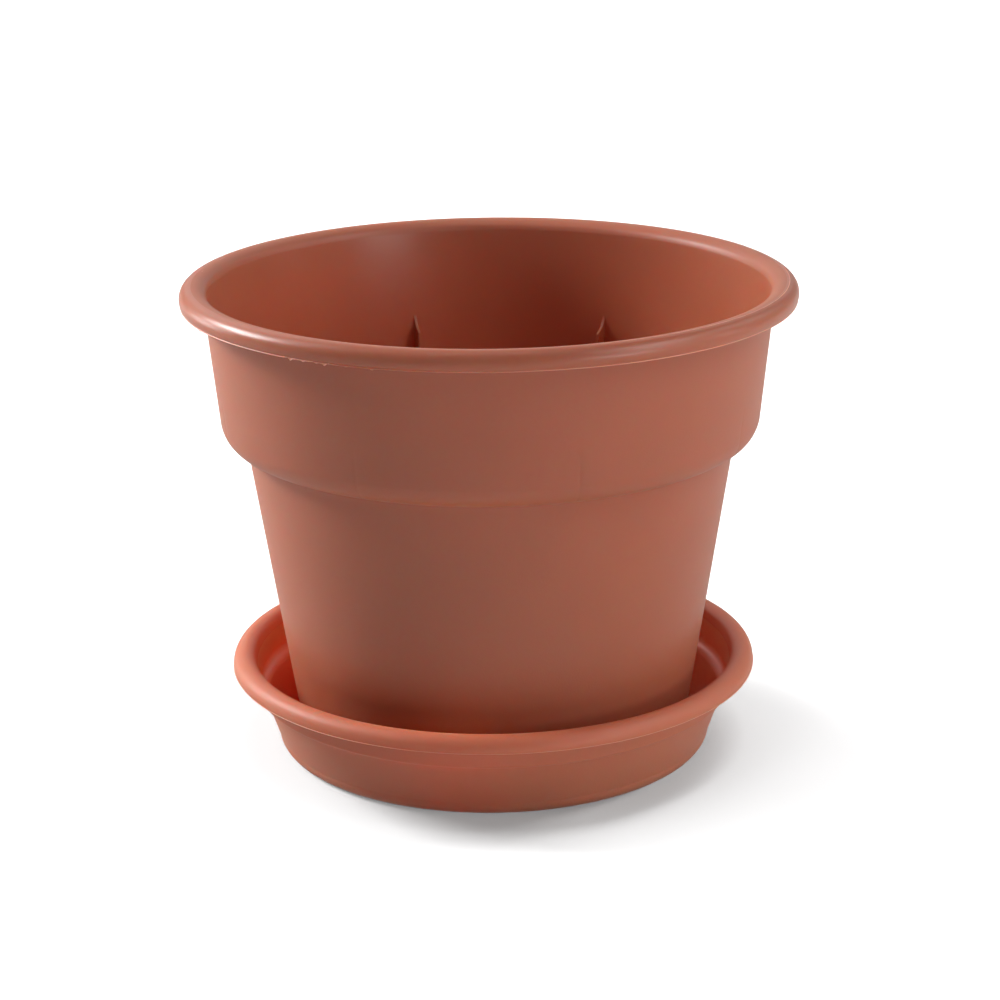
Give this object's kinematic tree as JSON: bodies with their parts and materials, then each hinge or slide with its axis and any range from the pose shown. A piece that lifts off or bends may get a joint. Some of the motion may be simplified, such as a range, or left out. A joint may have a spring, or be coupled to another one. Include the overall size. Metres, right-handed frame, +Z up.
{
  "type": "flower pot with saucer",
  "caption": "Round moulded plastic flower pot with rolled lip, stepped collar and drain holes, standing loose in a rolled-lip drip saucer.",
  "frame": {"origin": "centre of the saucer's underside, on the ground", "axes": "+Z up along the axis that pot and saucer share, +X and +Y horizontal, with the pot's stacking ribs at 22.5 degrees from +X and every 45 degrees from there"},
  "size_m": [0.25, 0.25, 0.1974],
  "materials": {
    "saucer_plastic": "fine spark-eroded grain outside, smoother and slightly glossy inside",
    "pot_plastic": "fine spark-eroded grain outside, smoother and slightly glossy inside"
  },
  "bodies": {
    "saucer": {"saucer": "saucer_plastic"},
    "pot": {"pot": "pot_plastic"}
  },
  "joints": [
    {"name": "pot_lift", "type": "slide", "parent": "saucer", "child": "pot", "axis": [0, 0, 1], "range_m": [0, 0.1]}
  ]
}
